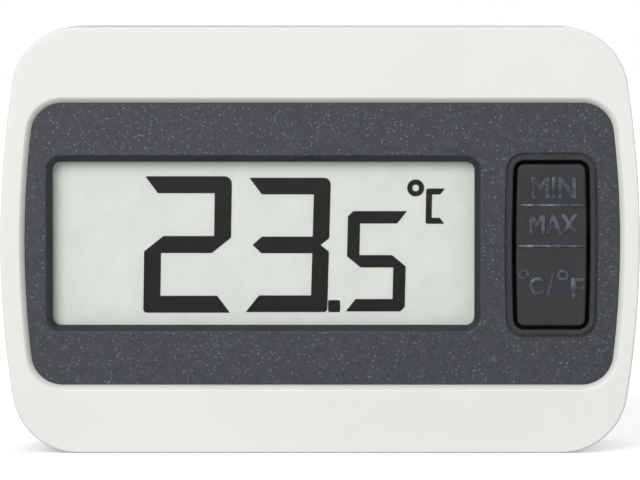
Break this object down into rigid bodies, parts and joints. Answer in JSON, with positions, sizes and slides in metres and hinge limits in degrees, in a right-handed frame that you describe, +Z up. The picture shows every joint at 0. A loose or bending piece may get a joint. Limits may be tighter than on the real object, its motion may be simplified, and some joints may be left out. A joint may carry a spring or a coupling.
{
  "type": "maximum minimum thermometer",
  "caption": "Pocket digital maximum minimum thermometer in a rounded off-white case, with a dark bezel, a large LCD, a rocker key, a folding stand, a magnet and a coin-slot battery cover.",
  "frame": {"origin": "middle of the flat bottom edge, half way between front and back", "axes": "+X to the right of a person reading the display, +Y towards the back of the case, +Z up"},
  "size_m": [0.06, 0.014, 0.04],
  "materials": {
    "shell_plastic": "satin off-white moulded plastic",
    "bezel_plastic": "dark grey moulded plastic with fine metallic flake",
    "adhesive_tape": "black double-sided tape",
    "clear_lens": "clear acrylic sheet",
    "key_plastic": "fine matte dark grey",
    "silicone": "translucent grey silicone rubber",
    "carbon_rubber": "matte black conductive rubber",
    "polarizer_film": "neutral polarizing film",
    "display_glass": "thin polished glass",
    "reflector_film": "grey-green diffusing reflector",
    "holder_plastic": "plain moulded",
    "zebra_rubber": "layered conductive silicone",
    "board_laminate": "green solder mask on glass epoxy",
    "screw_steel": "zinc plated",
    "black_resin": "cured drop",
    "chip_ceramic_dark": "chip resistor",
    "chip_ceramic_tan": "chip capacitor",
    "bead_resin": "amber bead on tinned legs",
    "contact_steel": "nickel plated spring strip",
    "cell_steel": "nickel plated",
    "cell_nylon": "natural nylon",
    "cell_pellet": "pressed zinc and manganese dioxide",
    "cover_plastic": "satin off-white moulded plastic",
    "stand_plastic": "satin off-white moulded plastic",
    "magnet_ferrite": "sintered ferrite, ground face"
  },
  "bodies": {
    "case": {"front_shell": "shell_plastic", "bezel": "bezel_plastic", "lens_tape": "adhesive_tape", "display_lens": "clear_lens", "rubber_keypad": "silicone", "carbon_pills": "carbon_rubber", "lcd_front_polarizer": "polarizer_film", "lcd_front_glass": "display_glass", "lcd_rear_glass": "display_glass", "lcd_reflector": "reflector_film", "lcd_holder": "holder_plastic", "zebra_strip": "zebra_rubber", "circuit_board": "board_laminate", "board_screws": "screw_steel", "chip_blob": "black_resin", "smd_resistors": "chip_ceramic_dark", "smd_capacitors": "chip_ceramic_tan", "thermistor": "bead_resin", "contact_negative": "contact_steel", "contact_positive": "contact_steel", "cell_cap": "cell_steel", "cell_seal": "cell_nylon", "cell_core": "cell_pellet", "cell_can": "cell_steel", "rear_shell": "shell_plastic", "case_screws": "screw_steel", "magnet": "magnet_ferrite"},
    "key": {"rocker_key": "key_plastic"},
    "stand": {"stand": "stand_plastic"},
    "battery_cover": {"battery_cover": "cover_plastic"}
  },
  "joints": [
    {"name": "key_rock", "type": "hinge", "parent": "case", "child": "key", "pos_m": [0.0217, -0.0044, 0.01955], "axis": [1, 0, 0], "range_deg": [-3, 3], "stiffness_Nm_per_rad": 0.1},
    {"name": "stand_fold", "type": "hinge", "parent": "case", "child": "stand", "pos_m": [0.003, 0.0056, 0.031], "axis": [1, 0, 0], "range_deg": [0, 70]},
    {"name": "cover_turn", "type": "hinge", "parent": "case", "child": "battery_cover", "pos_m": [-0.0175, 0.0063, 0.02], "axis": [0, 1, 0], "range_deg": [0, 45]}
  ]
}
